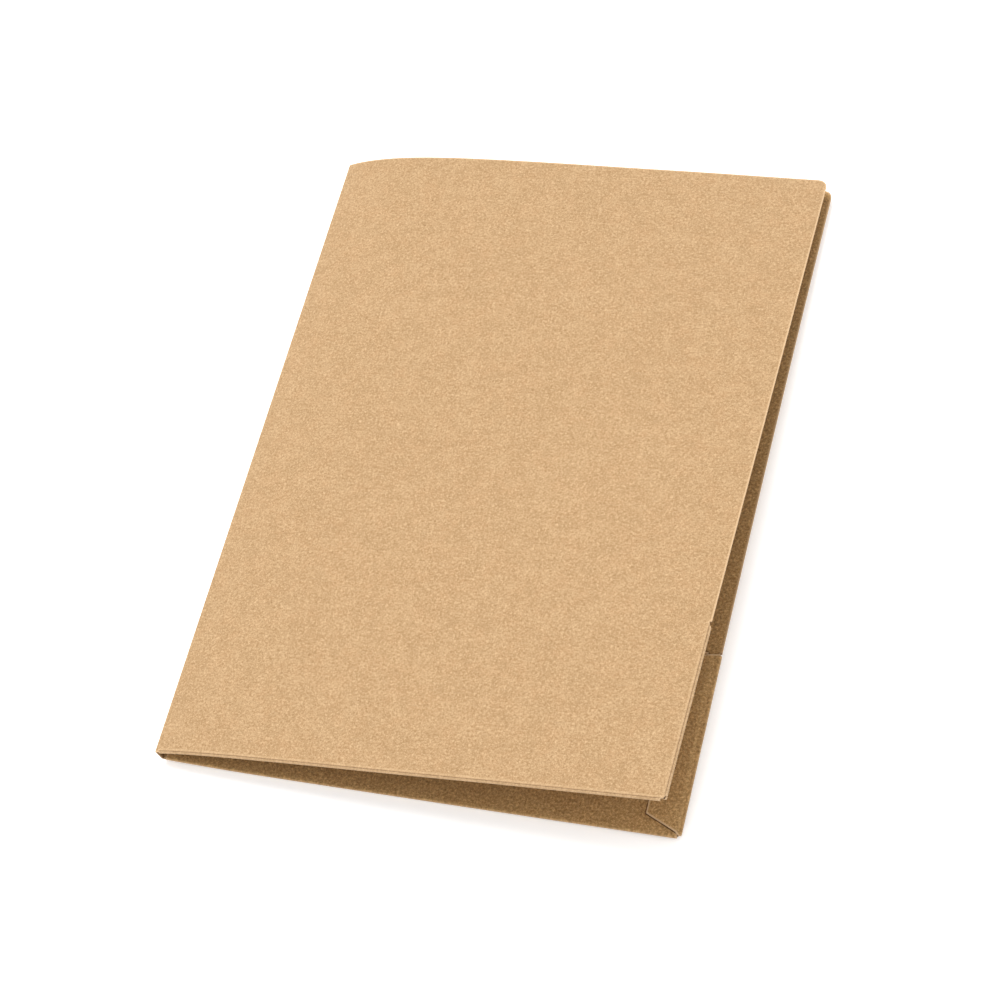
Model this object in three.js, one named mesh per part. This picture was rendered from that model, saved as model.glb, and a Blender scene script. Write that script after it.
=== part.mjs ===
// Kraft card document folder for A4 sheets, lying on its back cover and slightly sprung open.
// Millimetres, +Z up, table at z = 0. +X runs from the spine to the fore edge, +Y from the foot
// to the head. The folder is one creased blank of card; each panel between creases is a solid.
// Shapes are worked out with the back spine crease's outer corner at x = 0 and the foot at y = 0.
import * as THREE from 'three';

const { lerp, clamp, degToRad } = THREE.MathUtils;

// ---- driving dimensions ----
const COVER_W = 220;          // crease to fore edge, measured along the card
const COVER_H = 310;          // foot to head
const CARD = 0.6;             // card thickness
const CORNER_R = 4;           // rounded head corner at the fore edge
const CUT_INSET = 0.3;        // cut fore edge stands this far inside the side fold
const CREASE_END = 0.66;      // covers start this far from the spine's outer corner

const SPINE_W = 6.5;          // outer width of the spine, crease to crease
const SPINE_LEAN = degToRad(10.2);           // outwards from upright
const SPINE_FOOT = 0.3;       // spine and creases run from here to the head
const SPINE_GAP = 0.06;       // spine panel to crease bead
const FRONT_CREASE_SLOPE = degToRad(18.6);   // front cover's slope used to place its crease

const POCKET_H = 79.2;        // height of the turned-up pocket flap
const POCKET_GAP = 0.35;      // clear gap between a cover and its pocket flap
const FLAP_START = 1.8;       // flap's foot corner, from the spine crease
const FLAP_TAPER = degToRad(20.5);           // flap's spine-side end leans away from the spine
const FLAP_INSET_FOOT = 2.6;  // flap's fore end to the side fold, at the foot
const FLAP_INSET_HEAD = 5.6;  // and at the pocket's mouth

const TAB_W = 15;             // turned-in side tab
const TAB_FOOT = 0.9;         // tab's lower end, beside the fold
const TAB_KNEE = 8;           // height where the mitred lower edge meets the inner edge
const TAB_MITRE_END = 25;     // rows above this height are free of the mitre
const TAB_DROP_START = 59;    // rows above this height lean towards the sloping top edge
const TAB_TOP = 78.9;         // tab's top at the fold
const TAB_TOP_DROP = 3.3;     // how far the top edge falls towards the inner edge
const TAB_RISE_START = 1.1;   // the tab starts to climb, and its mitre starts, this far in
const TAB_RISE_CLEAR = 0.2;   // the climb ends this far short of the flap

const GLUE_T = 0.1;           // adhesive film between flap and tab
const GLUE_CLEAR = 0.08;      // gap on either side of the film
const GLUE_MARGIN = 1.5;      // film to the edges of the overlap
const GLUE_FOOT_RISE = 3;     // film's foot above the tab's knee
const GLUE_TOP = 72;

// Back cover: lift at the spine, curl along the fore edge, flat on the table between the two.
const SPINE_LIFT = 1.9;       // outer face above the table, at the crease
const SPINE_LIFT_REACH = 50;  // distance over which that lift fades to nothing
const CURL_START = 77;        // the fore-edge curl starts here
// fore edge above the table at foot and head, and the extra height halfway up
const CURL = { foot: 1.05, head: 2.6, bow: 4.55 };

// Front cover: at distance s from the crease its slope in degrees is
// SLOPE + KICK * exp(-s / REACH), each changing from foot to head.
const SLOPE = { foot: 6.25, head: -2.51, linearShare: 0.49 };
const KICK = { foot: 8.83, head: 24.68, power: 1.86 };
const REACH = { foot: 21.53, head: 25.36 };
const FRONT_STEPS = 60;       // steps in adding up the slope

// The frame's origin: middle of the whole object's footprint, on the table.
const ORIGIN_X = 109.45;
const ORIGIN_Y = COVER_H / 2;

// ---- derived dimensions; a depth is measured inwards from a cover's outer face ----
const FOLD_R = (2 * CARD + POCKET_GAP) / 2;       // outer radius of a folded-over edge
const FOLD_GAP = 0.05;                            // parting gap along a fold
const EDGE = FOLD_R + FOLD_GAP;                   // panels stop this far inside a folded edge
const FOLD_CORNER = 1.2;                          // both folds stop this far short of their corner
const FLAP_DEPTH = CARD + POCKET_GAP;
const GLUE_DEPTH = FLAP_DEPTH + CARD + GLUE_CLEAR;
const TAB_DEPTH = GLUE_DEPTH + GLUE_T + GLUE_CLEAR;  // where the tab lies over the flap
const CREASE_R = CARD / 2;

// ---- grid stations ----
const LOW_ROWS = [8, 25, 42, 59];                 // heights shared by the cover, flap and side fold
// The cover's fore edge steps out to its cut edge between these two rows.
const STEP_BELOW = TAB_TOP + 0.1;
const STEP_ABOVE = TAB_TOP + 0.4;
const CORNER_ROWS = [0, 22.5, 45, 67.5, 90].map(
  (angle) => COVER_H - CORNER_R + CORNER_R * Math.sin(degToRad(angle)));
const COVER_ROWS = [
  EDGE, ...LOW_ROWS, STEP_BELOW, STEP_ABOVE,
  100, 127, 154, 181, 208, 235, 262, 286, ...CORNER_ROWS,
];
const BACK_COLUMNS = [CREASE_END, 8, 16, 28, 39, SPINE_LIFT_REACH, CURL_START, 95, 113, 131];
const FRONT_COLUMNS = [CREASE_END, 6, 12, 18, 25, 33, 43, 56, 75, 100, 125];
const FORE_COLUMNS = [149, 167, 185, 200, 211];   // both covers, towards the fore edge
const FLAP_ROWS = [EDGE, ...LOW_ROWS, 75, POCKET_H];
// fractions of the way from the flap's tapered end to just short of the tab
const FLAP_FRACTIONS = [0, 0.03, 0.07, 0.13, 0.2, 0.32, 0.46, 0.6, 0.74, 0.87, 1];
const FLAP_BESIDE_TAB = TAB_W + 1;                // last of those columns, from the side fold
const FLAP_UNDER_TAB = 10.5;                      // next column, from the side fold
const BOTTOM_FOLD_STATIONS = [
  FLAP_START, 8, 16, 28, 42, 77, 104, 131, 158, 182, 203, COVER_W - FOLD_CORNER,
];
const SIDE_FOLD_STATIONS = [FOLD_CORNER, ...LOW_ROWS, TAB_TOP];
const TAB_ROWS = [TAB_FOOT, 8, 16, TAB_MITRE_END, 42, TAB_DROP_START, 69, TAB_TOP];
const GLUE_ROWS = [TAB_KNEE + GLUE_FOOT_RISE, 25, 42, 59, GLUE_TOP];

// ---- the outer faces of the two sprung covers ----
// across is the distance from the crease towards the fore edge
function backFace(across, y) {
  const rise = y / COVER_H;
  const foreLift = lerp(CURL.foot, CURL.head, rise) + CURL.bow * 4 * rise * (1 - rise);
  const curl = Math.max(0, (across - CURL_START) / (COVER_W - CURL_START));
  const lift = Math.max(0, 1 - across / SPINE_LIFT_REACH);
  return new THREE.Vector3(across, y, SPINE_LIFT * lift ** 2 + foreLift * curl ** 2);
}

// outer corners of the spine in section; a Vector2 here holds (x, z)
const BACK_CORNER = new THREE.Vector2(0, SPINE_LIFT);
const FRONT_CORNER = new THREE.Vector2(
  -SPINE_W * Math.sin(SPINE_LEAN), SPINE_LIFT + SPINE_W * Math.cos(SPINE_LEAN));

function frontSlope(across, rise) {
  const slopeBlend = SLOPE.linearShare * rise + (1 - SLOPE.linearShare) * rise ** 2;
  const slope = lerp(SLOPE.foot, SLOPE.head, slopeBlend);
  // points offset for normals can fall just below the foot
  const kick = lerp(KICK.foot, KICK.head, Math.max(rise, 0) ** KICK.power);
  const reach = lerp(REACH.foot, REACH.head, rise);
  return degToRad(slope + kick * Math.exp(-across / reach));
}

function frontFace(across, y) {
  const step = across / FRONT_STEPS;
  let { x, y: z } = FRONT_CORNER;
  for (let i = 0; i < FRONT_STEPS; i++) {
    const angle = frontSlope((i + 0.5) * step, y / COVER_H);
    x += Math.cos(angle) * step;
    z += Math.sin(angle) * step;
  }
  return new THREE.Vector3(x, y, z);
}

// A sheet places points at a depth inside an outer face, along the face's own normal.
// inward is 1 where inwards is up, -1 where it is down.
function makeSheet(face, inward) {
  const reach = 0.5;          // half the span used to find the normal
  const at = (across, y, depth) => {
    const alongX = face(across + reach, y).sub(face(across - reach, y));
    const alongY = face(across, y + reach).sub(face(across, y - reach));
    const normal = alongX.cross(alongY).normalize();
    return face(across, y).addScaledVector(normal, inward * depth);
  };
  return { at, flipped: inward < 0 };
}

// ---- closed solids bent from a box ----
// place(column, row, upper) gives each vertex; upper is true on the box's +Z face
function bentBox(columnCount, rowCount, place) {
  const geometry = new THREE.BoxGeometry(1, 1, 1, columnCount, rowCount, 1);
  const vertices = geometry.attributes.position;
  for (let i = 0; i < vertices.count; i++) {
    const column = Math.round((vertices.getX(i) + 0.5) * columnCount);
    const row = Math.round((vertices.getY(i) + 0.5) * rowCount);
    const { x, y, z } = place(column, row, vertices.getZ(i) > 0);
    vertices.setXYZ(i, x, y, z);
  }
  return geometry;
}

// A card or film panel. columns(y) lists one row's positions across; depth(across, y) is that
// of its face nearer the cover's outer face; height(y, across) may bend a row.
// On a flipped sheet the two faces swap, to keep the solid facing out.
function slab(sheet, { rows, columns, depth, thickness = CARD, height = (y) => y }) {
  return bentBox(columns(rows[0]).length - 1, rows.length - 1, (column, row, upper) => {
    const y = rows[row];
    const across = columns(y)[column];
    const extra = upper !== sheet.flipped ? thickness : 0;
    return sheet.at(across, height(y, across), depth(across, y) + extra);
  });
}

// A half-round folded edge. at(along, outwards, inwards) places a point of the fold's
// section, measured from its axis: out past the panels, and into the folder.
function foldedEdge(sheet, stations, at) {
  const turns = 6;
  return bentBox(stations.length - 1, turns, (column, row, upper) => {
    const angle = (row / turns - 0.5) * Math.PI;
    const radius = upper !== sheet.flipped ? FOLD_R : FOLD_R - CARD;
    return at(stations[column], Math.cos(angle) * radius, Math.sin(angle) * radius);
  });
}

// ---- the pieces of one cover and its pocket ----
function coverForeEdge(y) {
  if (y <= STEP_BELOW) return COVER_W - EDGE;
  const over = Math.max(0, y - (COVER_H - CORNER_R));
  const halfChord = Math.sqrt(Math.max(0, CORNER_R ** 2 - over ** 2));
  return COVER_W - CUT_INSET - (CORNER_R - halfChord);
}

function cover(sheet, spineColumns) {
  return slab(sheet, {
    rows: COVER_ROWS,
    columns: (y) => [...spineColumns, ...FORE_COLUMNS, coverForeEdge(y)],
    depth: () => 0,
  });
}

const flapInset = (y) => lerp(FLAP_INSET_FOOT, FLAP_INSET_HEAD, y / POCKET_H);

function flapColumns(y) {
  const start = FLAP_START + y * Math.tan(FLAP_TAPER);
  return [
    ...FLAP_FRACTIONS.map((fraction) => lerp(start, COVER_W - FLAP_BESIDE_TAB, fraction)),
    COVER_W - FLAP_UNDER_TAB,
    COVER_W - flapInset(y),
  ];
}

function pocketFlap(sheet) {
  return slab(sheet, { rows: FLAP_ROWS, columns: flapColumns, depth: () => FLAP_DEPTH });
}

function bottomFold(sheet) {
  return foldedEdge(sheet, BOTTOM_FOLD_STATIONS,
    (along, outwards, inwards) => sheet.at(along, FOLD_R - outwards, FOLD_R + inwards));
}

function sideFold(sheet) {
  return foldedEdge(sheet, SIDE_FOLD_STATIONS,
    (along, outwards, inwards) => sheet.at(COVER_W - FOLD_R + outwards, along, FOLD_R + inwards));
}

const tabRiseEnd = (y) => flapInset(y) - TAB_RISE_CLEAR;

// mitred foot and falling top: a row's real height also depends on how far in from the fold it is
function tabHeight(y, across) {
  const inset = COVER_W - across;
  const mitreSlope = (TAB_KNEE - TAB_FOOT) / (TAB_W - TAB_RISE_START);
  const mitre = mitreSlope * Math.max(0, inset - TAB_RISE_START);
  const mitreShare = Math.max(0, (TAB_MITRE_END - y) / (TAB_MITRE_END - TAB_FOOT));
  const drop = TAB_TOP_DROP / TAB_W * inset;
  const dropShare = Math.max(0, (y - TAB_DROP_START) / (TAB_TOP - TAB_DROP_START));
  return y + mitre * mitreShare - drop * dropShare;
}

// the tab climbs from the fold onto the flap
function tabDepth(across, y) {
  const climbed = (COVER_W - across - TAB_RISE_START) / (tabRiseEnd(y) - TAB_RISE_START);
  return lerp(FLAP_DEPTH, TAB_DEPTH, clamp(climbed, 0, 1));
}

function sideTab(sheet) {
  return slab(sheet, {
    rows: TAB_ROWS,
    columns: (y) => [TAB_W, 10, tabRiseEnd(y), TAB_RISE_START, EDGE].map((inset) => COVER_W - inset),
    depth: tabDepth,
    height: tabHeight,
  });
}

function glueColumns(y) {
  const start = COVER_W - TAB_W + GLUE_MARGIN;
  const end = COVER_W - flapInset(y) - GLUE_MARGIN;
  return [start, (start + end) / 2, end];
}

function glueStrip(sheet) {
  return slab(sheet, {
    rows: GLUE_ROWS, columns: glueColumns, depth: () => GLUE_DEPTH, thickness: GLUE_T,
  });
}

// ---- spine ----
// A crease's centre is half a card thickness inside both outer faces that meet at its corner.
function creaseCentre(corner, coverInward) {
  const spineInward = new THREE.Vector2(Math.cos(SPINE_LEAN), Math.sin(SPINE_LEAN));
  const scale = CREASE_R / spineInward.cross(coverInward);
  return new THREE.Vector2(
    corner.x + scale * (coverInward.y - spineInward.y),
    corner.y + scale * (spineInward.x - coverInward.x));
}
const backCrease = creaseCentre(BACK_CORNER, new THREE.Vector2(0, 1));
const frontCrease = creaseCentre(FRONT_CORNER,
  new THREE.Vector2(Math.sin(FRONT_CREASE_SLOPE), -Math.cos(FRONT_CREASE_SLOPE)));
const SPINE_LENGTH = COVER_H - SPINE_FOOT;
const SPINE_MID_Y = (COVER_H + SPINE_FOOT) / 2;

function creaseBead(centre) {
  return new THREE.CylinderGeometry(CREASE_R, CREASE_R, SPINE_LENGTH, 10, 1)
    .translate(centre.x, SPINE_MID_Y, centre.y);
}

function spinePanel() {
  const run = frontCrease.clone().sub(backCrease);
  const middle = backCrease.clone().lerp(frontCrease, 0.5);
  const width = run.length() - 2 * (CREASE_R + SPINE_GAP);
  return new THREE.BoxGeometry(CARD, SPINE_LENGTH, width, 1, 6, 1)
    .rotateY(Math.atan2(run.x, run.y))
    .translate(middle.x, SPINE_MID_Y, middle.y);
}

// ---- materials ----
const KRAFT = { color: '#d8b186', roughness: 0.9, metalness: 0 };
const KRAFT_CREASE = { color: '#c79f74', roughness: 0.92, metalness: 0 };
const ADHESIVE = { color: '#e6dcc4', roughness: 0.45, metalness: 0 };

// ---- the assembly ----
const folder = new THREE.Group();
folder.name = 'document_folder';
folder.position.set(-ORIGIN_X, -ORIGIN_Y, 0);

function add(name, geometry, look) {
  const mesh = new THREE.Mesh(geometry, new THREE.MeshStandardMaterial(look));
  mesh.name = name;
  folder.add(mesh);
}

function addCover(side, sheet, spineColumns) {
  add(`${side}_cover`, cover(sheet, spineColumns), KRAFT);
  add(`${side}_pocket_flap`, pocketFlap(sheet), KRAFT);
  add(`${side}_bottom_fold`, bottomFold(sheet), KRAFT_CREASE);
  add(`${side}_side_fold`, sideFold(sheet), KRAFT_CREASE);
  add(`${side}_side_tab`, sideTab(sheet), KRAFT);
  add(`${side}_glue_strip`, glueStrip(sheet), ADHESIVE);
}

addCover('back', makeSheet(backFace, 1), BACK_COLUMNS);
add('back_spine_crease', creaseBead(backCrease), KRAFT_CREASE);
add('spine_panel', spinePanel(), KRAFT);
add('front_spine_crease', creaseBead(frontCrease), KRAFT_CREASE);
addCover('front', makeSheet(frontFace, -1), FRONT_COLUMNS);

export default folder;
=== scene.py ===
# Kraft card document folder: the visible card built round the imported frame.
# The back cover lies on the floor and the front cover is sprung open above it. The spine is at
# low x, the fore edges at high x, the foot at low y and the head at high y. Each cover has a
# pocket flap turned in at the foot, with a side tab turned in at the fore edge and glued over it.
# It is one creased blank, built as leaves that meet on matched vertices where the card runs on.
import math
from typing import NamedTuple

import bpy
import numpy as np
from mathutils import Matrix, Vector


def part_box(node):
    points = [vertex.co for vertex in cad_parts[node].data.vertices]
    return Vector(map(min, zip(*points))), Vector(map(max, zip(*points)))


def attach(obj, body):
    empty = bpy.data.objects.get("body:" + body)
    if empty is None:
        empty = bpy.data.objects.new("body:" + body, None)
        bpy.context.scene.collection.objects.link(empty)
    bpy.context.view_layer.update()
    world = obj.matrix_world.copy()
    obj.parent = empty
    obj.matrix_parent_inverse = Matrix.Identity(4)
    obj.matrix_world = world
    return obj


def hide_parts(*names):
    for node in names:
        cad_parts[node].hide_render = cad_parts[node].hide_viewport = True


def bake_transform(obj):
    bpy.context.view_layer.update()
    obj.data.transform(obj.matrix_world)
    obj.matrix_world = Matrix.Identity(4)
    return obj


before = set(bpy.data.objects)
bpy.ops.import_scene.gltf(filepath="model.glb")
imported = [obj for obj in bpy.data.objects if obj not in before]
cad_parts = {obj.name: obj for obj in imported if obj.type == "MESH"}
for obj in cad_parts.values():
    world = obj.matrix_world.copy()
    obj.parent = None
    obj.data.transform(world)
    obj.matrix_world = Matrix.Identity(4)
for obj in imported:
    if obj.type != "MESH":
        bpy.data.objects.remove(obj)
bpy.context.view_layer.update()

# ---------------------------------------------------------------------------------------------
# Dimensions, in millimetres. Local axes: "across" from the spine crease to the fore edge, y from
# foot to head, "depth" inwards from a cover's outer face. An "inset" is a distance in from the
# outermost line of the foot or fore edge.
# ---------------------------------------------------------------------------------------------
MM_PER_M = 1000.0
W, H, T = 220.0, 310.0, 0.6             # cover width and height, card thickness
SPINE_W, LEAN = 6.5, math.radians(10.2)
POCKET_H, POCKET_GAP = 79.2, 0.35
TAB_W, TAB_TOP, TAB_DROP = 15.0, 78.9, 3.3     # the top edge falls by the drop across the tab
TAB_KNEE, MITRE_BASE = 8.0, 1.5
GLUE_GAP = 0.26                         # between flap and tab
FLAP_START, FLAP_TAPER = 1.8, math.radians(20.5)
INSET_FOOT, INSET_HEAD = 2.6, 5.6       # the flap's fore edge, at its foot and its mouth
CORNER_R, CORNER_SPAN = 4.0, 9.0        # radius, and the width of the columns drawn in round it
CUT_INSET = 0.3

FOLD_R = (2 * T + POCKET_GAP) / 2       # half the thickness of a folded-over edge
FOLD_MID_R = FOLD_R - T / 2             # radius of the card's middle in a fold
SEAM = FOLD_R + 0.35                    # inset of the line where a cover meets a fold
TAB_FOOT = SEAM + 0.35                  # lowest row of the tab
MITRE_SLOPE = (TAB_KNEE - MITRE_BASE) / (TAB_W - SEAM)
DEPTH_FLAP = T + POCKET_GAP + T / 2     # depths of the middle of the flap and the tab
DEPTH_TAB = DEPTH_FLAP + T + GLUE_GAP

back_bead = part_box("back_spine_crease")
front_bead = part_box("front_spine_crease")
ORIGIN_X = -109.45                      # the frame's x of the back crease's outer corner
ORIGIN_Y = back_bead[1][1] * MM_PER_M - H      # foot edge
BACK_PIVOT = np.array([0.25084, 2.2])   # crease centres, local x and z
FRONT_PIVOT = np.array([-0.80994, 8.09554])
UP_SPINE = np.array([-math.sin(LEAN), math.cos(LEAN)])
HALF_SPINE = np.linalg.norm(FRONT_PIVOT - BACK_PIVOT) / 2


def middle_z(box):
    return (box[0][2] + box[1][2]) / 2 * MM_PER_M


assert abs(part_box("back_cover")[0][0] * MM_PER_M - 0.91 - ORIGIN_X) < 2.0, "the frame moved"
assert abs(middle_z(back_bead) - BACK_PIVOT[1]) < 0.1
assert abs(middle_z(front_bead) - FRONT_PIVOT[1]) < 0.1


def lerp(start, end, t):
    return start + (end - start) * t


def linear(value, start, end):
    """0 at start, 1 at end and held beyond them; start may be the larger."""
    return np.clip((value - start) / (end - start), 0, 1)


def smooth(t):
    t = np.clip(t, 0, 1)
    return t * t * (3 - 2 * t)


def eased(value, start, end):
    """As linear, with a soft start and stop."""
    return smooth((value - start) / (end - start))


def bell(value, centre, width):
    return np.exp(-((value - centre) / width) ** 2)


# ---------------------------------------------------------------------------------------------
# The two sprung covers, as in the frame, with the slight unevenness of real card
# ---------------------------------------------------------------------------------------------
BACK_FLAT_END = 77.0                    # the back cover curls up from here to the fore edge
BACK_CURL_FOOT, BACK_CURL_HEAD, BACK_CURL_MID = 1.05, 2.6, 4.55     # the last added at mid height
SPINE_LIFT, SPINE_LIFT_RUN = 1.9, 50.0  # the back cover's rise towards the crease
FRONT_X = -SPINE_W * math.sin(LEAN)
FRONT_Z = SPINE_LIFT + SPINE_W * math.cos(LEAN)
FRONT_STEPS = 60                        # steps in adding up the front cover's slope


def ripple(across, y, seed):
    """Seven faint waves, fading out towards the spine."""
    rng = np.random.default_rng(seed)
    total = 0.0
    for _ in range(7):
        wave = rng.uniform(60, 170)
        heading = rng.uniform(0, 2 * math.pi)
        size = rng.uniform(0.02, 0.06)
        phase = rng.uniform(0, 6.28)
        along = across * math.cos(heading) + y * math.sin(heading)
        total = total + size * np.sin(2 * math.pi * along / wave + phase)
    return total * eased(across, 2.0, 24.0)


def back_face(across, y):
    v = y / H
    fore = lerp(BACK_CURL_FOOT, BACK_CURL_HEAD, v) + BACK_CURL_MID * 4 * v * (1 - v)
    curl = np.maximum(0, (across - BACK_FLAT_END) / (W - BACK_FLAT_END))
    near_spine = np.maximum(0, 1 - across / SPINE_LIFT_RUN)
    waves = ripple(across, y, 11) * linear(across, BACK_FLAT_END, BACK_FLAT_END + 60)
    z = SPINE_LIFT * near_spine * near_spine + fore * curl * curl + np.maximum(0, waves)
    return np.stack([across, y, z], -1)


def front_slope(run, v):
    """Slope in radians: a far value, and an extra that dies away from the spine."""
    far = lerp(6.25, -2.51, 0.49 * v + 0.51 * v * v)
    extra = lerp(8.83, 24.68, np.maximum(v, 0) ** 1.86)
    decay = lerp(21.53, 25.36, v)
    return np.radians(far + extra * np.exp(-run / decay))


def front_face(across, y):
    x = np.zeros(across.shape)
    z = np.zeros(across.shape)
    for i in range(FRONT_STEPS):
        slope = front_slope(across * (i + 0.5) / FRONT_STEPS, y / H)
        x += np.cos(slope)
        z += np.sin(slope)
    x *= across / FRONT_STEPS
    z *= across / FRONT_STEPS
    return np.stack([FRONT_X + x, y, FRONT_Z + z + ripple(across, y, 23)], -1)


def layered(face, inward):
    """Extend a cover's outer face to any depth, along its normals."""
    def sheet(across, y, depth):
        across, y, depth = np.broadcast_arrays(*(np.asarray(v, float) for v in (across, y, depth)))
        half = 0.5
        along_x = face(across + half, y) - face(across - half, y)
        along_y = face(across, y + half) - face(across, y - half)
        normal = np.cross(along_x, along_y)
        normal /= np.linalg.norm(normal, axis=-1, keepdims=True)
        return face(across, y) + normal * (inward * depth)[..., None]
    return sheet


class Cover(NamedTuple):
    name: str
    sheet: object           # (across, y, depth) to local points
    flip: bool              # faces are wound the other way round
    pivot: np.ndarray       # centre of its spine crease
    along_spine: np.ndarray     # away from this crease
    swell: float            # extra thickness outside the spine crease
    foot_relief: float      # inset of the foot fold's slanting fore end
    head_slant: float       # fall of the fore fold's head end
    glue_seed: int


COVERS = (
    Cover("back", layered(back_face, 1), flip=False, pivot=BACK_PIVOT, along_spine=UP_SPINE,
          swell=0.06, foot_relief=1.7, head_slant=0.9, glue_seed=5),
    Cover("front", layered(front_face, -1), flip=True, pivot=FRONT_PIVOT, along_spine=-UP_SPINE,
          swell=0.20, foot_relief=2.5, head_slant=2.4, glue_seed=6),
)


# ---------------------------------------------------------------------------------------------
# Closed sheets of card from a grid of outer and inner points
# ---------------------------------------------------------------------------------------------
EDGE_BULGE = 0.035                      # how far the walls' middle rings stand out
RINGS = (0, 0.16, 0.84, 1)              # rings through a cut edge, from outer to inner face
INNER_CARD_DEPTH = 40.0                 # sets the inner face's texture apart from the outer's
FAR_OFF = 9.0                           # a distance too large for rim or lap shading
# the neighbour across each side of a cell, and the side's two corners in wall order
CELL_SIDES = (
    ((0, -1), (0, 0), (1, 0)),
    ((0, 1), (1, 1), (0, 1)),
    ((-1, 0), (0, 1), (0, 0)),
    ((1, 0), (1, 0), (1, 1)),
)


class Grid:
    """Outer and inner local points of a sheet, and the values that shade it."""
    def __init__(self, count_i, count_j):
        shape = (count_i, count_j)
        self.outer, self.inner = np.zeros(shape + (3,)), np.zeros(shape + (3,))
        self.card_x, self.card_y = np.zeros(shape), np.zeros(shape)     # flat card coordinates
        self.crease = np.zeros(shape)       # 0 to 1 at folds
        self.painted_shade = np.zeros(shape)       # painted shade of the score line on the outer face
        self.hidden = np.zeros(shape)       # painted shade on the unlit inner face, behind a fold
        self.inside = np.zeros(shape)       # how far the outer face looks into the folder, for its painted shade
        self.lap = np.full(shape + (3,), FAR_OFF)   # distances outside a lapping piece
        self.keep = np.ones((count_i - 1, count_j - 1), bool)   # cells that are card


def boundary_sides(keep):
    """Sides of kept cells with no kept neighbour: (start, end, direction out)."""
    padded = np.pad(keep, 1)
    sides = []
    for i, j in np.argwhere(keep).tolist():
        for way, start, end in CELL_SIDES:
            if not padded[i + 1 + way[0], j + 1 + way[1]]:
                sides.append(((i + start[0], j + start[1]), (i + end[0], j + end[1]), way))
    return sides


def cut_distances(outer, sides, on_seam):
    """Each vertex's distance from the nearest cut edge, for the painted highlight of the paler rim.
    """
    cuts = [(outer[p], outer[q]) for p, q, _ in sides if not (on_seam(*p) and on_seam(*q))]
    starts, ends = np.array([c[0] for c in cuts]), np.array([c[1] for c in cuts])
    runs = ends - starts
    squares = np.maximum((runs ** 2).sum(-1), 1e-12)
    distances = np.zeros(outer.shape[:2])
    for i, line in enumerate(outer):
        offsets = line[:, None, :] - starts[None]
        t = np.clip((offsets * runs).sum(-1) / squares, 0, 1)
        gaps = np.linalg.norm(offsets - t[..., None] * runs, axis=-1)
        distances[i] = np.minimum(FAR_OFF, gaps.min(1))
    return distances


def way_out(outer, i, j, ways):
    """Unit direction out of the card at a boundary vertex."""
    last_i, last_j = outer.shape[0] - 1, outer.shape[1] - 1
    along_i = outer[min(i + 1, last_i), j] - outer[max(i - 1, 0), j]
    along_j = outer[i, min(j + 1, last_j)] - outer[i, max(j - 1, 0)]
    along_i = along_i / max(np.linalg.norm(along_i), 1e-9)
    along_j = along_j / max(np.linalg.norm(along_j), 1e-9)
    total = sum(along_i * way[0] + along_j * way[1] for way in ways)
    length = np.linalg.norm(total)
    return total / length if length > 1e-9 else total


def card_sheet(name, grid, flip, on_seam=lambda i, j: False, lap_side=0.0):
    """Mesh a grid. Its walls have two middle rings, so that cut edges are rounded.
    lap_side is the face with lap shading: 0 the outer, 1 the inner."""
    origin = np.array([ORIGIN_X, ORIGIN_Y, 0.0])
    sides = boundary_sides(grid.keep)
    rim = cut_distances(grid.outer, sides, on_seam)
    ways = {}
    for start, end, way in sides:
        for corner in (start, end):
            ways.setdefault(corner, []).append(way)
    index, points, faces, materials = {}, [], [], []
    values = {key: [] for key in ("card", "fold", "painted_shade", "rim", "inner", "lap")}

    def vertex(i, j, through):
        """Index of a vertex, from 0 on the outer face to 1 on the inner."""
        key = (i, j, through)
        if key in index:
            return index[key]
        index[key] = len(points)
        point = grid.outer[i, j] * (1 - through) + grid.inner[i, j] * through
        card_depth = INNER_CARD_DEPTH * through
        if 0 < through < 1:
            card_depth = -T / 2 + T * through
            if not on_seam(i, j):
                point = point + way_out(grid.outer, i, j, ways[i, j]) * EDGE_BULGE
        points.append((point + origin) / MM_PER_M)
        values["card"].append((grid.card_x[i, j], grid.card_y[i, j], card_depth))
        values["fold"].append(grid.crease[i, j])
        values["painted_shade"].append(grid.painted_shade[i, j] * (1 - through) + grid.hidden[i, j] * through)
        values["rim"].append(rim[i, j])
        values["inner"].append(grid.inside[i, j] * (1 - through) + through)
        lapped = abs(through - lap_side) < 0.5
        values["lap"].append(tuple(grid.lap[i, j]) if lapped else (FAR_OFF,) * 3)
        return index[key]

    def quad(corners, material):
        faces.append(corners[::-1] if flip else corners)
        materials.append(material)

    for i, j in np.argwhere(grid.keep).tolist():
        around = ((i, j), (i, j + 1), (i + 1, j + 1), (i + 1, j))
        quad([vertex(*corner, 0) for corner in around], 0)
        quad([vertex(*corner, 1) for corner in (around[0], around[3], around[2], around[1])], 0)
    for start, end, _ in sides:
        rings = [(vertex(*start, through), vertex(*end, through)) for through in RINGS]
        for near, far in zip(rings, rings[1:]):
            quad((near[0], near[1], far[1], far[0]), 1)

    mesh = bpy.data.meshes.new(name)
    mesh.from_pydata([tuple(point) for point in points], [], faces)
    mesh.validate()
    mesh.polygons.foreach_set("material_index", np.array(materials, np.int32))
    mesh.polygons.foreach_set("use_smooth", np.ones(len(materials), bool))
    for key, data in values.items():
        data = np.array(data, np.float32)
        vector = data.ndim == 2
        attribute = mesh.attributes.new(key, "FLOAT_VECTOR" if vector else "FLOAT", "POINT")
        attribute.data.foreach_set("vector" if vector else "value", data.ravel())
    mesh.set_sharp_from_angle(angle=math.radians(38))
    ob = bpy.data.objects.new(name, mesh)
    bpy.context.scene.collection.objects.link(ob)
    return ob


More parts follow.
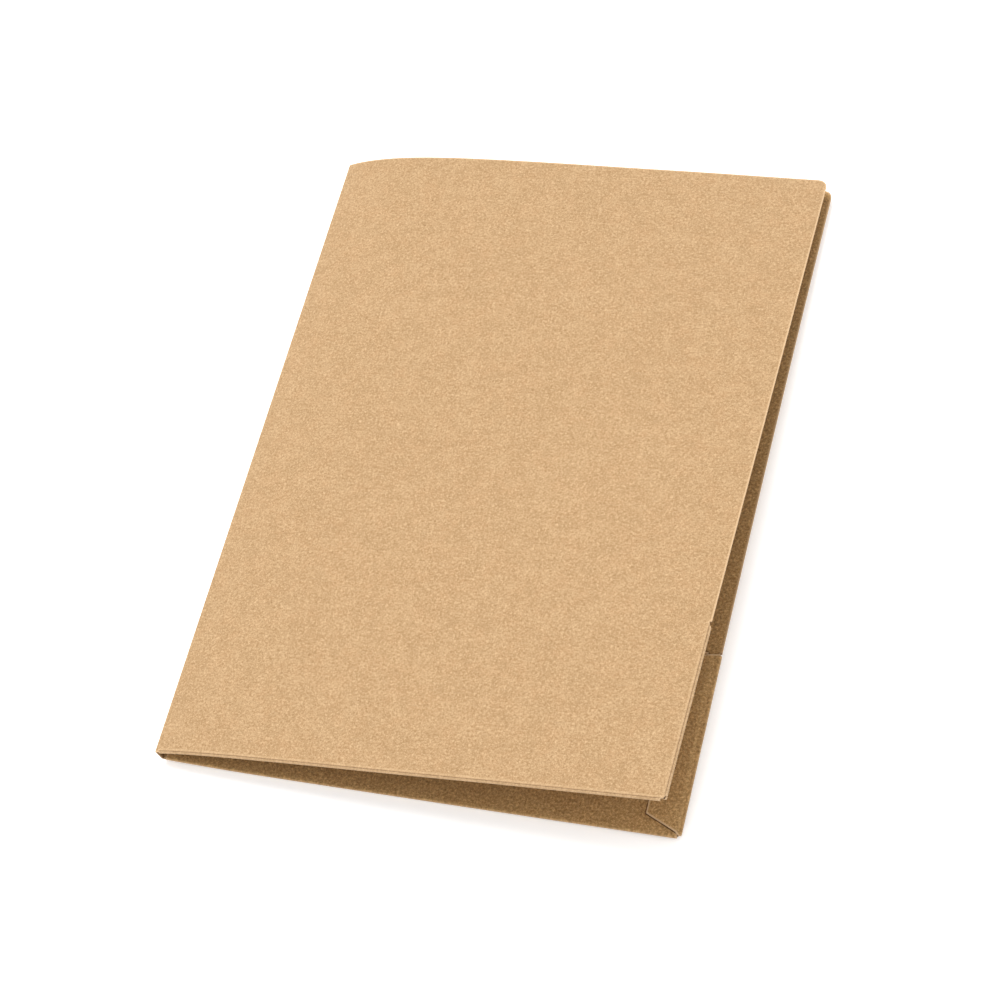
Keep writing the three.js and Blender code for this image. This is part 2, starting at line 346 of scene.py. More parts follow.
# ---------------------------------------------------------------------------------------------
# Rows (y) and columns (across) shared by pieces that meet
# ---------------------------------------------------------------------------------------------
TAB_ROWS = [TAB_FOOT, 1.8, 2.1, 2.4, 2.8, 3.4, 4.2, 5.2, 8.0, 11.5, *range(15, 68, 4),
            70.5, 73.5, 76, 77.6, TAB_TOP]
FOLD_HEAD = TAB_TOP + 0.3               # the cover's fore edge is cut square above here
CORNER_ANGLES = (0, 12, 24, 36, 48, 60, 72, 82, 90)
ROWS = [CUT_INSET, SEAM, *TAB_ROWS, FOLD_HEAD, TAB_TOP + 0.9, 80.5, 83,
        *np.arange(87, 303, 4.0), 304, 305.2]
ROWS += [H - CORNER_R + CORNER_R * math.sin(math.radians(angle)) for angle in CORNER_ANGLES]
ROWS = np.array(sorted(set(round(float(row), 4) for row in ROWS)))
FOOT_COLS = np.array([FLAP_START, 3.0, 4.5, 6.5, 9, 12, 15.5, *np.arange(19.5, 206, 4.0),
                      208.5, 211.5, 214, 215.6, 216.6, 217.2, 217.6, 217.9, 218.2, W - TAB_FOOT])
PANEL_START = 0.95                      # where the spine crease ends and the flat panel begins
COLS = np.array([PANEL_START, *FOOT_COLS, W - SEAM, W - 0.62, W - CUT_INSET])


def flap_left(y):
    return FLAP_START + y * math.tan(FLAP_TAPER)


def flap_inset(y):
    return INSET_FOOT + (INSET_HEAD - INSET_FOOT) * y / POCKET_H


def tab_top(inset):
    return TAB_TOP - TAB_DROP * inset / TAB_W


def mitre(inset):
    """Height of the tab's slanting foot edge."""
    return TAB_FOOT + MITRE_SLOPE * (inset - SEAM)


def arc_lengths(points):
    steps = np.linalg.norm(np.diff(points, axis=0), axis=1)
    return np.concatenate([[0], np.cumsum(steps)])


# ---------------------------------------------------------------------------------------------
# The section of a folded edge
# ---------------------------------------------------------------------------------------------
class SectionPoint(NamedTuple):
    """A point of the card's middle in a section across a folded edge."""
    inset: float
    depth: float
    normal_inset: float     # towards the card's outer face
    normal_depth: float
    angle: float = 90.0     # degrees round the fold: -90 on the cover side, 90 when turned in
    slant: float = 0.0      # 0 at the seam, 1 near the outermost line
    bead: float = 0.0       # relief left by the creasing tool on the outer face
    pale: float = 0.0       # wear
    painted_shade: float = 0.0     # painted shade of the score line: how far into it, 0 to 1
    inside: float = 1.0     # how far the outer face looks into the folder, for its painted shade


def fold_point(inset, depth, normal_inset, normal_depth, angle):
    # distance round the outer face from the line where the fold starts
    run = (FOLD_MID_R + T / 2) * math.radians(angle + 90) if angle > -90 else FOLD_R - inset
    return SectionPoint(
        inset, depth, normal_inset, normal_depth, angle,
        slant=linear(inset, SEAM, 0.3),
        bead=-0.13 * bell(run, 0.03, 0.16) + 0.03 * bell(angle, -25, 28.0),
        pale=0.3 + 0.6 * bell(angle, -20, 45.0),
        painted_shade=bell(run, 0.03, 0.17),
        inside=eased(angle, -10, 80))


def fold_section():
    """From the seam on the cover to just past the fold on the turned-in side."""
    bend_start = FOLD_R + 0.16
    section = [fold_point(inset, T / 2, 0, -1, -90) for inset in (SEAM, bend_start)]
    for angle in np.linspace(-90, 90, 33):
        cosine, sine = math.cos(math.radians(angle)), math.sin(math.radians(angle))
        section.append(fold_point(FOLD_R - FOLD_MID_R * cosine, FOLD_R + FOLD_MID_R * sine,
                                  -cosine, sine, angle))
    section += [fold_point(inset, DEPTH_FLAP, 0, 1, 90) for inset in (bend_start, SEAM)]
    return section


FOLD = fold_section()


# ---------------------------------------------------------------------------------------------
# The cover with its crease and half of the spine
# ---------------------------------------------------------------------------------------------
SPINE_STEPS = (HALF_SPINE, 2.45, 1.95, 1.5, 1.1, 0.82)   # distances up the spine from the pivot
BEND_REACH = 0.55                       # the bend starts this far up the spine from its corner
BEND_T = np.linspace(0, 1, 13)
BEND = np.concatenate([np.zeros(len(SPINE_STEPS)), np.sin(np.pi * BEND_T[:-1]) ** 2])
PRESS_RELIEF, PRESS_INSET, PRESS_WIDTH = -0.06, 1.55, 0.33


def pressed(across, y):
    """The low bead the creasing tool leaves inside the two folded edges, outwards negative."""
    inset = W - across
    foot = bell(y, PRESS_INSET, PRESS_WIDTH) * eased(across, 2.5, 4.5) * eased(inset, 1.6, 3.1)
    fore = (bell(inset, PRESS_INSET, PRESS_WIDTH) * eased(y, 1.6, 3.1)
            * eased(y, TAB_TOP - 0.5, TAB_TOP - 3.5))
    return PRESS_RELIEF * (foot + fore)


def cover_columns(y):
    """The columns at a height, drawn in round the corner of head and fore edge."""
    columns = COLS.copy()
    over = y - (H - CORNER_R)
    if over > 0:
        start = W - CORNER_SPAN
        right = W - CUT_INSET - (CORNER_R - math.sqrt(max(0.0, CORNER_R ** 2 - over ** 2)))
        far = columns > start
        columns[far] = start + (columns[far] - start) * (right - start) / (W - CUT_INSET - start)
    return columns


def crease_curve(cover, panel_end, panel_way):
    """Card's middle from halfway up the spine to the panel, in x and z, and its directions."""
    up = cover.along_spine
    lines = np.column_stack([up, panel_way])
    corner = cover.pivot + up * np.linalg.solve(lines, panel_end - cover.pivot)[0]
    start = corner + up * BEND_REACH
    path = [cover.pivot + up * step for step in SPINE_STEPS]
    ways = [-up] * len(path)
    for t in BEND_T[:-1]:
        path.append((1 - t) ** 2 * start + 2 * t * (1 - t) * corner + t * t * panel_end)
        way = 2 * (1 - t) * (corner - start) + 2 * t * (panel_end - corner)
        ways.append(way / np.linalg.norm(way))
    return np.array(path), np.array(ways)


def nearest(values, value):
    return int(np.argmin(abs(values - value)))


def shade_cover(grid, first, i_flap, i_seam, j_seam, j_tab):
    # pale lines just inside the folded edges
    for step, pale in enumerate((0.5, 1.0, 0.45)):
        foot = grid.crease[i_flap:i_seam + 1, j_seam + step]
        np.maximum(foot, pale, out=foot)
        fore = grid.crease[i_seam - step, j_seam:j_tab]
        np.maximum(fore, pale, out=fore)
    # painted shade on the inner face behind the foot and fore folds, and inside the spine near the
    # foot
    across, y = np.meshgrid(np.concatenate([np.zeros(first), COLS]), ROWS, indexing="ij")
    inset = W - across
    foot = eased(y, 6.0, 3.0) * eased(across, 2.5, 5.5)
    spine = 0.6 * eased(y, 9.0, 0.0) * (across < 0.5)
    fore = eased(inset, 7.0, 4.0) * (y < TAB_TOP - 1.0)
    grid.hidden = np.maximum(np.maximum(foot, spine), fore)
    # painted shade: a darker line down the inside of the spine crease
    grid.hidden[:first] = np.maximum(grid.hidden[:first], 0.8 * grid.crease[:first])
    # shadow line on the inner face just beyond the pocket's mouth and the tab's top
    lapped_top = np.where(inset < INSET_HEAD - 0.4, tab_top(inset), POCKET_H) + 0.02
    grid.lap[..., 0] = flap_left(y) - across
    grid.lap[..., 1] = -FAR_OFF
    grid.lap[..., 2] = (y - lapped_top) * 0.4


def cover_card(cover):
    first = len(BEND)                   # the panel's first column
    grid = Grid(first + len(COLS), len(ROWS))
    grid.card_y[:] = ROWS
    for j, y in enumerate(ROWS):
        columns = cover_columns(y)
        bead = pressed(columns, y)
        grid.outer[first:, j] = cover.sheet(columns, y, bead)
        grid.inner[first:, j] = cover.sheet(columns, y, T + 0.3 * bead)
        grid.card_x[first:, j] = columns
        # the crease: a curve from the spine's middle line to the panel's
        middle = (grid.outer[first, j] + grid.inner[first, j]) / 2
        onward = sum(cover.sheet(PANEL_START + 0.4, y, depth) for depth in (0.0, T)) / 2
        panel_way = (onward - middle)[[0, 2]]
        panel_way /= np.linalg.norm(panel_way)
        panel_end = middle[[0, 2]]
        path, ways = crease_curve(cover, panel_end, panel_way)
        normals = np.stack([ways[:, 1], -ways[:, 0]], 1) * (-1.0 if cover.flip else 1.0)
        outer_line = path + normals * (T / 2 + cover.swell * BEND)[:, None]
        grid.outer[:first, j] = np.insert(outer_line, 1, y, axis=1)
        grid.inner[:first, j] = np.insert(path - normals * (T / 2), 1, y, axis=1)
        lengths = arc_lengths(np.vstack([path, panel_end]))
        grid.card_x[:first, j] = PANEL_START - (lengths[-1] - lengths[:-1])
        grid.crease[:first, j] = BEND
        grid.crease[first, j] = 0.15
    i_flap = first + nearest(COLS, FLAP_START)
    i_seam = first + nearest(COLS, W - SEAM)
    j_seam = nearest(ROWS, SEAM)
    j_tab = nearest(ROWS, FOLD_HEAD)
    grid.keep[i_flap:, :j_seam] = False            # the foot edge folds over here
    grid.keep[i_seam:, :j_tab] = False             # the fore edge folds over here
    shade_cover(grid, first, i_flap, i_seam, j_seam, j_tab)

    def on_seam(i, j):
        return i == 0 or (j == j_seam and i >= i_flap) or (i == i_seam and j < j_tab)

    return card_sheet(cover.name + "_cover_card", grid, cover.flip, on_seam, lap_side=1.0)


# ---------------------------------------------------------------------------------------------
# The pocket: foot fold and turned-up flap
# ---------------------------------------------------------------------------------------------
FLAP_ROWS = [1.9, 2.8, 4.2, 6.2, 9, 12.5, *np.arange(16.5, 74, 4.0), 76.2, 78.0, POCKET_H]
FLAP_LEFT_STEP = 0.35                   # the flap starts this much further in than the fold


def mouth(across, y):
    """How far the flap stands away from the cover, most at its free corner by the spine."""
    corner = 0.9 * linear(y, 0, POCKET_H) ** 2 * linear(across, W - 24.0, 0) ** 1.4
    return corner + 0.25 * linear(across, 60.0, 0) * linear(y, 0, 12.0)


def pocket_card(cover):
    section = FOLD + [SectionPoint(y, DEPTH_FLAP, 0, 1) for y in FLAP_ROWS]
    grid = Grid(len(FOOT_COLS), len(section))
    grid.card_y[:] = SEAM - arc_lengths(np.array([(p.inset, p.depth) for p in section]))
    t = (FOOT_COLS - FOOT_COLS[0]) / (FOOT_COLS[-1] - FOOT_COLS[0])
    for j, point in enumerate(section):
        y = point.inset
        if j < len(FOLD):
            # the fold's fore end is cut on the slant, which leaves the relief notch at the corner
            slant = point.slant if point.angle < 45 else 1.0
            left = FLAP_START + FLAP_LEFT_STEP * eased(point.angle, -90, 90)
            right = lerp(FOOT_COLS[-1], W - cover.foot_relief, slant)
            across = lerp(left, right, t)
            lift, hidden = 0.0, 1.0
        else:
            left = max(FLAP_START + FLAP_LEFT_STEP, flap_left(y) - 0.25)
            right = W - lerp(cover.foot_relief, flap_inset(y), eased(y, SEAM, SEAM + 2.0))
            across = lerp(left, right, t)
            lift, hidden = mouth(across, y), eased(y, 6.0, 3.0)
        # on a folded edge the outer face is outside the bend; past it, it faces inwards
        for face, offset in ((grid.outer, T / 2 + point.bead), (grid.inner, -T / 2)):
            face[:, j] = cover.sheet(across, y + point.normal_inset * offset,
                                     point.depth + point.normal_depth * offset + lift)
        grid.card_x[:, j] = across
        grid.crease[:, j] = point.pale
        grid.painted_shade[:, j] = point.painted_shade
        grid.inside[:, j] = point.inside
        # how far each point lies outside the tab's mitre, inner edge and top
        inset = W - across
        grid.lap[:, j, 0] = (mitre(inset) - y) * 0.905
        grid.lap[:, j, 1] = (inset - TAB_W) * 0.6
        grid.lap[:, j, 2] = (y - tab_top(inset)) * 0.5
        # painted shade on the face against the cover: all of the fold, the flap near the foot, and
        # under the tab
        grid.hidden[:, j] = np.maximum(hidden, eased(inset, TAB_W + 2.0, TAB_W) * 0.8)
    # columns run across and rows run away from the cover, so this sheet is wound the other way
    return card_sheet(cover.name + "_pocket_card", grid, not cover.flip, lambda i, j: j == 0)


# ---------------------------------------------------------------------------------------------
# The side tab: fore-edge fold and turned-in tab, mitred at the foot
# ---------------------------------------------------------------------------------------------
TAB_STEPS = np.linspace(0, 1, 11)[1:]   # steps in climbing over the flap's edge
TAB_INSETS = [6.6, 7.8, 9.2, 10.6, 12, 13.2, 14.2, TAB_W]


def near_foot(y, reach):
    return linear(y, reach, TAB_FOOT)


def tab_height(y, inset):
    """A row's real height: mitred foot, falling top, square at the seam."""
    y = y - 0.4 * (1 - eased(inset, SEAM, SEAM + 1.4)) * near_foot(y, 9.0)
    foot = MITRE_SLOPE * max(0.0, inset - SEAM) * near_foot(y, 22.0)
    top = TAB_DROP / TAB_W * max(0.0, inset - 0.4) * linear(y, 62.0, TAB_TOP)
    return y + foot - top


def tab_section(cover, y):
    """Section points of the tab in one row, each with its height."""
    points = []
    for point in FOLD:
        # the fold's foot end is cut on the slant, beside the relief notch
        under = eased(point.angle, -25, 35)
        shift = (0.8 * point.slant * (1 - under) - 0.4 * under) * near_foot(y, 9.0)
        shift -= cover.head_slant * point.slant * eased(y, 68.0, TAB_TOP)
        points.append((point, y + shift))
    # the mitred foot stands a little off the flap beside the fold, and comes down at the knee
    spring = 0.42 * eased(y, 17.0, 4.0)

    def add(inset, depth, normal_inset, normal_depth):
        depth += spring * eased(inset, SEAM, SEAM + 2.2) * (1 - eased(inset, 3.5, 12.5))
        point = SectionPoint(inset, depth, normal_inset, normal_depth)
        points.append((point, tab_height(y, inset)))

    end = flap_inset(y) - 0.25
    for t in TAB_STEPS:
        slope = (DEPTH_TAB - DEPTH_FLAP) * 6 * t * (1 - t) / (end - SEAM)
        length = math.hypot(1, slope)
        add(lerp(SEAM, end, t), lerp(DEPTH_FLAP, DEPTH_TAB, smooth(t)),
            -slope / length, 1 / length)
    for inset in TAB_INSETS:
        add(inset, DEPTH_TAB + 0.22 * eased(inset, 12.2, TAB_W), 0, 1)
    return points


def tab_card(cover):
    grid = Grid(len(FOLD) + len(TAB_STEPS) + len(TAB_INSETS), len(TAB_ROWS))
    # painted shade on all of the tab's face against the flap
    grid.hidden[:] = 1.0
    for j, row in enumerate(TAB_ROWS):
        points = tab_section(cover, row)
        runs = arc_lengths(np.array([(point.inset, point.depth) for point, _ in points]))
        grid.card_x[:, j] = W - SEAM + runs
        for i, (point, y) in enumerate(points):
            for face, offset in ((grid.outer, T / 2 + point.bead), (grid.inner, -T / 2)):
                face[i, j] = cover.sheet(W - (point.inset + point.normal_inset * offset), y,
                                         point.depth + point.normal_depth * offset)
            grid.card_y[i, j] = y
            grid.crease[i, j] = point.pale
            grid.painted_shade[i, j] = point.painted_shade
            grid.inside[i, j] = point.inside
    return card_sheet(cover.name + "_side_tab_card", grid, cover.flip, lambda i, j: i == 0)


# ---------------------------------------------------------------------------------------------
# The glue film between tab and flap: a thin pressed bead with a wandering outline
# ---------------------------------------------------------------------------------------------
GLUE_FOOT, GLUE_HEAD = 11.0, 72.0
GLUE_INSET, GLUE_MARGIN = 13.2, 1.4     # its spine-side edge, and its gap from the flap's edge
GLUE_HALF = 0.115                       # half its greatest thickness


def rounded(t, power):
    """0 at both ends of 0 to 1, and nearly 1 between."""
    return math.sqrt(1 - abs(2 * t - 1) ** power)


def glue_film(cover):
    phase = np.random.default_rng(cover.glue_seed).uniform(0, 6.28, 6)
    count_i, count_j = 15, 61
    grid = Grid(count_i, count_j)
    for j in range(count_j):
        t = j / (count_j - 1)
        y = lerp(GLUE_FOOT, GLUE_HEAD, t)
        left = GLUE_INSET + 0.5 * math.sin(y / 3.1 + phase[0]) + 0.3 * math.sin(y / 1.3 + phase[1])
        right = (flap_inset(y) + GLUE_MARGIN
                 + 0.4 * math.sin(y / 2.7 + phase[2]) + 0.2 * math.sin(y / 1.1 + phase[3]))
        middle = (left + right) / 2
        fullness = 0.25 + 0.75 * rounded(t, 8)
        left, right = lerp(middle, left, fullness), lerp(middle, right, fullness)
        for i in range(count_i):
            s = i / (count_i - 1)
            across = W - lerp(left, right, s)
            half = GLUE_HALF * (0.45 + 0.55 * rounded(s, 6))
            depth = DEPTH_FLAP + T / 2 + GLUE_GAP / 2
            grid.outer[i, j] = cover.sheet(across, y, depth - half)
            grid.inner[i, j] = cover.sheet(across, y, depth + half)
            grid.card_x[i, j], grid.card_y[i, j] = across, y
    return card_sheet(cover.name + "_glue_film", grid, cover.flip)


# ---------------------------------------------------------------------------------------------
# Materials
# ---------------------------------------------------------------------------------------------
class Shader:
    """Short ways to add and join shader nodes."""
    def __init__(self, name):
        self.material = bpy.data.materials.new(name)
        self.material.use_nodes = True
        self.tree = self.material.node_tree
        self.tree.nodes.clear()

    def node(self, kind, **settings):
        node = self.tree.nodes.new(kind)
        for key, value in settings.items():
            setattr(node, key, value)
        return node

    def feed(self, source, socket):
        """Link a socket, or set a number or an RGB colour."""
        if isinstance(source, (int, float)):
            socket.default_value = source
        elif isinstance(source, tuple):
            socket.default_value = source + (1.0,)
        else:
            self.tree.links.new(source, socket)

    def math(self, operation, first, second):
        node = self.node("ShaderNodeMath", operation=operation)
        self.feed(first, node.inputs[0])
        self.feed(second, node.inputs[1])
        return node.outputs[0]

    def times(self, first, second):
        return self.math("MULTIPLY", first, second)

    def plus(self, first, second):
        return self.math("ADD", first, second)

    def most(self, first, second):
        return self.math("MAXIMUM", first, second)

    def remap(self, source, span, to):
        """Ease from to[0] to to[1] as the source crosses the span."""
        node = self.node("ShaderNodeMapRange", clamp=True, interpolation_type="SMOOTHSTEP")
        self.feed(source, node.inputs["Value"])
        node.inputs["From Min"].default_value, node.inputs["From Max"].default_value = span
        node.inputs["To Min"].default_value, node.inputs["To Max"].default_value = to
        return node.outputs["Result"]

    def place(self, vector, stretch=(1, 1, 1), turn=0.0, shift=(0, 0, 0)):
        node = self.node("ShaderNodeMapping", vector_type="POINT")
        node.inputs["Scale"].default_value = stretch
        node.inputs["Rotation"].default_value = (0, 0, turn)
        node.inputs["Location"].default_value = shift
        self.feed(vector, node.inputs["Vector"])
        return node.outputs[0]

    def noise(self, vector, scale, detail, rough, distort=0.0, **placing):
        """Noise texture; any placing goes to a mapping node before it."""
        if placing:
            vector = self.place(vector, **placing)
        node = self.node("ShaderNodeTexNoise", noise_dimensions="3D")
        node.inputs["Scale"].default_value = scale
        node.inputs["Detail"].default_value = detail
        node.inputs["Roughness"].default_value = rough
        node.inputs["Distortion"].default_value = distort
        self.feed(vector, node.inputs["Vector"])
        return node.outputs[0]

    def specks(self, vector, scale, rim):
        """Small sharp-edged specks, one here and there, 1 inside and 0 outside."""
        node = self.node("ShaderNodeTexVoronoi", feature="F1", voronoi_dimensions="3D")
        node.inputs["Scale"].default_value = scale
        node.inputs["Randomness"].default_value = 1.0
        self.feed(vector, node.inputs["Vector"])
        near = self.remap(node.outputs["Distance"], span=rim, to=(1.0, 0.0))
        split = self.node("ShaderNodeSeparateColor")
        self.feed(node.outputs["Color"], split.inputs[0])
        chosen = self.remap(split.outputs[0], span=(0.62, 0.7), to=(0.0, 1.0))
        return self.times(near, chosen)

    def mix(self, factor, first, second, **settings):
        node = self.node("ShaderNodeMix", data_type="RGBA", **settings)
        self.feed(factor, node.inputs[0])
        self.feed(first, node.inputs[6])
        self.feed(second, node.inputs[7])
        return node.outputs[2]

    def brighten(self, colour, factor):
        node = self.node("ShaderNodeVectorMath", operation="SCALE")
        self.feed(colour, node.inputs[0])
        self.feed(factor, node.inputs["Scale"])
        return node.outputs[0]

    def attribute(self, name, output="Fac"):
        node = self.node("ShaderNodeAttribute", attribute_type="GEOMETRY", attribute_name=name)
        return node.outputs[output]

    def finish(self, colour, roughness, height, bump_strength, bump_distance, settings):
        """Bumped surface to the output; returns the material."""
        bump = self.node("ShaderNodeBump")
        bump.inputs["Strength"].default_value = bump_strength
        bump.inputs["Distance"].default_value = bump_distance
        self.feed(height, bump.inputs["Height"])
        out = self.node("ShaderNodeOutputMaterial")
        surface = self.node("ShaderNodeBsdfPrincipled")
        self.feed(colour, surface.inputs["Base Color"])
        self.feed(roughness, surface.inputs["Roughness"])
        for key, value in settings.items():
            surface.inputs[key].default_value = value
        self.feed(bump.outputs[0], surface.inputs["Normal"])
        self.feed(surface.outputs[0], out.inputs["Surface"])
        return self.material


EXPOSURE = 1.60
BASE = (215, 176, 129)                  # kraft brown, sRGB out of 255


def look(*srgb):
    """A surface colour that shows as this sRGB value on a level surface under the stage's light."""
    return tuple(((c / 255.0 + 0.055) / 1.055) ** 2.4 / EXPOSURE for c in srgb)


def shade(change):
    """The base colour, lighter or darker by this much of 255."""
    return look(*(c + change for c in BASE))


# long thin streaks lying three ways: turn, stretch, shift
FIBRES = (
    (0.35, (0.22, 2.6, 1), (3, 1, 0)),
    (1.45, (0.26, 3.1, 1), (17, 4, 0)),
    (2.5, (0.2, 2.8, 1), (8, 29, 0)),
)


def kraft_material(name, edge=False):
    sh = shader = Shader(name)
    card = shader.attribute("card", output="Vector")
    fold = shader.attribute("fold")
    # broad cloudiness of the pulp, and patches a shade redder or yellower
    cloud = shader.noise(card, scale=0.028, detail=3, rough=0.55)
    mottle = shader.noise(card, scale=0.085, detail=2, rough=0.6, shift=(9, 4, 1))
    blotch = shader.noise(card, scale=0.21, detail=2, rough=0.6, shift=(19, 44, 1))
    patch = shader.noise(card, scale=0.11, detail=2, rough=0.5, shift=(31, 7, 3))
    # grain about a millimetre across, and finer
    grain = shader.noise(card, scale=0.95, detail=3, rough=0.66, distort=0.4)
    fine = shader.noise(card, scale=2.3, detail=2, rough=0.6, shift=(5, 91, 2))
    fibres = None
    for turn, stretch, shift in FIBRES:
        streaks = shader.noise(card, scale=1.0, detail=3, rough=0.55, distort=0.9,
                               stretch=stretch, turn=turn, shift=shift)
        streaks = shader.remap(streaks, span=(0.60, 0.74), to=(0.0, 1.0))
        fibres = streaks if fibres is None else shader.most(fibres, streaks)
    dark_fibres = shader.noise(card, scale=1.0, detail=2, rough=0.5, distort=1.2,
                               stretch=(0.3, 3.4, 1), turn=0.95, shift=(41, 2, 0))
    dark_fibres = shader.remap(dark_fibres, span=(0.66, 0.78), to=(0.0, 1.0))
    dark_specks = shader.specks(card, scale=0.24, rim=(0.05, 0.11))
    light_specks = shader.specks(shader.place(card, shift=(13, 57, 9)), scale=0.2,
                                 rim=(0.05, 0.12))

    painted_shade = shader.attribute("painted_shade")
    rim = shader.attribute("rim")
    clouded = shader.remap(cloud, span=(0.35, 0.65), to=(0.0, 1.0))
    colour = shader.mix(clouded, shade(2), shade(-2))
    patched = shader.remap(patch, span=(0.35, 0.65), to=(0.0, 0.8))
    colour = shader.mix(patched, colour, look(BASE[0] + 3, BASE[1] - 2, BASE[2] - 3))
    # noise, the span it comes in over, its greatest strength, its change of shade
    for noise, span, strength, change in (
        (mottle, (0.45, 0.70), 0.8, -8),
        (mottle, (0.50, 0.30), 0.8, 7),
        (blotch, (0.45, 0.70), 0.8, -9),
        (blotch, (0.50, 0.30), 0.8, 8),
        (grain, (0.50, 0.68), 1.0, 27),
        (grain, (0.50, 0.32), 1.0, -27),
        (fine, (0.45, 0.70), 0.7, -32),
        (fine, (0.45, 0.25), 0.7, 30),
    ):
        colour = shader.mix(shader.remap(noise, span, to=(0.0, strength)), colour, shade(change))
    # fibres are broken and paler along the folds
    broken = shader.noise(card, scale=1.7, detail=3, rough=0.7, shift=(2, 3, 4))
    worn = shader.times(fold, shader.remap(broken, span=(0.38, 0.62), to=(0.3, 1.0)))
    # mask, strength, change of shade
    for mask, strength, change in (
        (fibres, 0.45, 26),
        (dark_fibres, 0.45, -30),
        (dark_specks, 0.6, -62),
        (light_specks, 0.5, 34),
        (worn, 0.66, 32),
    ):
        colour = shader.mix(shader.times(mask, strength), colour, shade(change))
    # painted shade: faces that look into the folder are tinted darker and browner, and their grain
    # is made stronger in colour, as grazing light shows it
    inner = shader.attribute("inner")
    inward_grain_shade = sh.times(sh.math("SUBTRACT", grain, 0.5), 1.25)
    colour = sh.brighten(colour, sh.plus(1.0, sh.times(inward_grain_shade, inner)))
    colour = shader.mix(inner, colour, (0.95, 0.885, 0.69), blend_type="MULTIPLY")
    # painted highlight along the cut edges, with the paler frayed fibres of a cut: the rim beside a
    # cut is paler
    ragged = sh.plus(rim, sh.times(sh.math("SUBTRACT", broken, 0.5), 0.6))
    rim_highlight = shader.remap(ragged, span=(0.30, 0.75), to=(1.0, 0.0))
    colour = shader.mix(shader.times(rim_highlight, 0.8), colour, shade(36))
    # painted shade: the score lines, the unlit inner faces behind the folds, and the unlit strips
    # beside and behind the lapped card
    split = shader.node("ShaderNodeSeparateXYZ")
    shader.feed(shader.attribute("lap", output="Vector"), split.inputs[0])
    outside = sh.most(sh.most(split.outputs[0], split.outputs[1]), split.outputs[2])
    # painted shadow in the slit beside and behind the lapped card's edges
    painted_slit_shadow = shader.remap(outside, span=(0.15, 0.55), to=(1.0, 0.0))
    painted_shade_mask = sh.times(painted_shade, sh.remap(broken, span=(0.35, 0.6), to=(0.42, 0.75)))
    colour = sh.mix(sh.most(painted_shade_mask, sh.times(painted_slit_shadow, 0.8)), colour, look(92, 60, 34))

    height = shader.times(grain, 0.7)
    height = shader.plus(height, shader.times(fine, 0.3))
    height = shader.plus(height, shader.times(fibres, 0.25))
    if edge:
        # a cut edge: pale torn fibres, in layers along the card
        layer = shader.noise(card, scale=1.0, detail=3, rough=0.65, distort=0.3,
                             stretch=(0.5, 0.5, 9.0))
        colour = shader.mix(shader.remap(layer, span=(0.3, 0.7), to=(0.55, 0.95)),
                            colour, shade(34))
        nick = shader.noise(card, scale=1.9, detail=3, rough=0.7)
        colour = shader.mix(shader.remap(nick, span=(0.55, 0.75), to=(0.0, 0.5)),
                            colour, shade(-40))
        height = shader.plus(height, layer)
        roughness = shader.remap(layer, span=(0.3, 0.7), to=(0.9, 1.0))
    else:
        roughness = shader.remap(grain, span=(0.3, 0.7), to=(0.86, 0.96))
    return shader.finish(
        colour, roughness, height, bump_strength=0.8,
        bump_distance=0.00018 if edge else 0.00022,
        settings={"Specular IOR Level": 0.28, "Sheen Weight": 0.06, "Sheen Roughness": 0.6})


def glue_material():
    shader = Shader("dried_adhesive")
    card = shader.attribute("card", output="Vector")
    noise = shader.noise(card, scale=0.7, detail=3, rough=0.6)
    colour = shader.mix(shader.remap(noise, span=(0.35, 0.65), to=(0, 1)),
                        (0.72, 0.62, 0.42), (0.86, 0.79, 0.62))
    roughness = shader.remap(noise, span=(0.3, 0.7), to=(0.35, 0.6))
    return shader.finish(colour, roughness, noise, bump_strength=0.5, bump_distance=0.0001,
                         settings={})


kraft = kraft_material("kraft_card")
cut = kraft_material("kraft_cut_edge", edge=True)
glue = glue_material()

# ---------------------------------------------------------------------------------------------
# Put it together
# ---------------------------------------------------------------------------------------------
pieces = {}
for cover in COVERS:
    for build, slot, materials in (
        (cover_card, "kraft_card", (kraft, cut)),
        (pocket_card, "kraft_card", (kraft, cut)),
        (tab_card, "kraft_card", (kraft, cut)),
        (glue_film, "adhesive", (glue, glue)),
    ):
        ob = build(cover)
        for material in materials:
            ob.data.materials.append(material)
        pieces[ob.name] = ob

BLEND_REACH = 0.50                      # a reach each side of a crease centre; it only scales cross_crease's unused step
BACK_WAY = (0.997, -0.074)              # from the creases into the covers, in x and z
FRONT_WAY = (math.cos(math.radians(18.6)), math.sin(math.radians(18.6)))


def cross_crease(ob, way_a, way_b):
    """Bake ob's placement into its mesh. The ways point into the two panels; the step worked out
    from them is not used.
    """
    step = np.array(way_b) - np.array(way_a)
    step = step / np.linalg.norm(step) * BLEND_REACH
    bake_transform(ob)


cross_crease(pieces["back_cover_card"], BACK_WAY, UP_SPINE)
cross_crease(pieces["front_cover_card"], -UP_SPINE, FRONT_WAY)
for side in ("back", "front"):
    for part in ("pocket_card", "side_tab_card", "glue_film"):
        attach(pieces[f"{side}_{part}"], f"{side}_cover")
    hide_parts(f"{side}_cover", f"{side}_spine_crease",
                "spine_panel")
    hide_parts(f"{side}_pocket_flap", f"{side}_bottom_fold")
    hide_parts(f"{side}_side_tab", f"{side}_side_fold")
    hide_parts(f"{side}_glue_strip")

